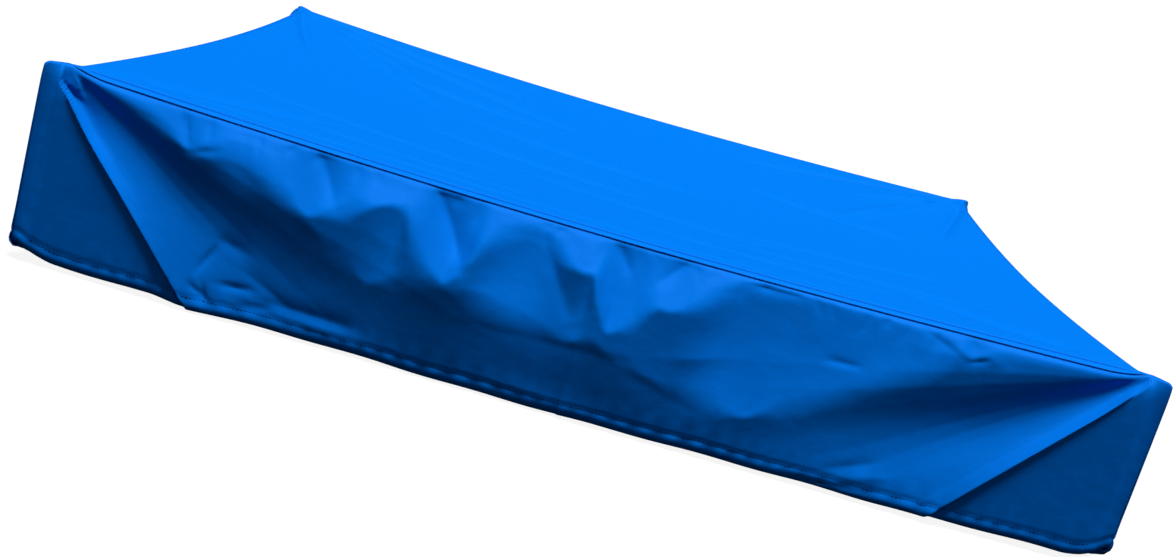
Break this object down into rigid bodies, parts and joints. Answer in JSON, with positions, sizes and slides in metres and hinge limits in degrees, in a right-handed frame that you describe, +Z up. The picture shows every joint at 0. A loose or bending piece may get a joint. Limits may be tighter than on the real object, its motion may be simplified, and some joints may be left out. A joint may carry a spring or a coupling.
{
  "type": "sandbox with cover",
  "caption": "Square timber sandbox with corner seats and sand, under a lift-off fitted cloth cover with a dished top, a seamed skirt and an elasticated hem.",
  "frame": {"origin": "on the ground under the middle of the box", "axes": "+Z up, -Y towards the front, +X towards the right seen from the front"},
  "size_m": [1.2, 1.2, 0.2075],
  "materials": {
    "cover_cloth": "coated woven polyester cloth, slightly glossy",
    "hem_elastic": "braided polyester over rubber",
    "crimp_metal": "plain, crimped",
    "board_timber": "planed softwood",
    "seat_timber": "planed softwood",
    "post_timber": "planed softwood",
    "cap_timber": "turned and sanded hardwood",
    "cleat_timber": "sawn softwood",
    "screw_steel": "zinc plated",
    "ground_cloth": "woven weed-control sheet",
    "sand": "loose washed play sand"
  },
  "bodies": {
    "sandbox": {"board_back_lower": "board_timber", "board_back_upper": "board_timber", "board_front_lower": "board_timber", "board_front_upper": "board_timber", "board_left_lower": "board_timber", "board_left_upper": "board_timber", "board_right_lower": "board_timber", "board_right_upper": "board_timber", "board_screws_back": "screw_steel", "board_screws_front": "screw_steel", "board_screws_left": "screw_steel", "board_screws_right": "screw_steel", "cap_back_left": "cap_timber", "cap_back_right": "cap_timber", "cap_front_left": "cap_timber", "cap_front_right": "cap_timber", "cleat_back_near_left": "cleat_timber", "cleat_back_near_right": "cleat_timber", "cleat_front_near_left": "cleat_timber", "cleat_front_near_right": "cleat_timber", "cleat_left_near_back": "cleat_timber", "cleat_left_near_front": "cleat_timber", "cleat_right_near_back": "cleat_timber", "cleat_right_near_front": "cleat_timber", "cleat_screws": "screw_steel", "ground_sheet": "ground_cloth", "post_back_left": "post_timber", "post_back_right": "post_timber", "post_front_left": "post_timber", "post_front_right": "post_timber", "sand_fill": "sand", "seat_back_left": "seat_timber", "seat_back_right": "seat_timber", "seat_front_left": "seat_timber", "seat_front_right": "seat_timber", "seat_screws": "screw_steel"},
    "cover": {"cover_skirt_back": "cover_cloth", "cover_skirt_front": "cover_cloth", "cover_skirt_left": "cover_cloth", "cover_skirt_right": "cover_cloth", "cover_top": "cover_cloth", "elastic_crimp": "crimp_metal", "hem_elastic": "hem_elastic"}
  },
  "joints": [
    {"name": "cover_lift", "type": "slide", "parent": "sandbox", "child": "cover", "axis": [0, 0, 1], "range_m": [0, 0.3]}
  ]
}
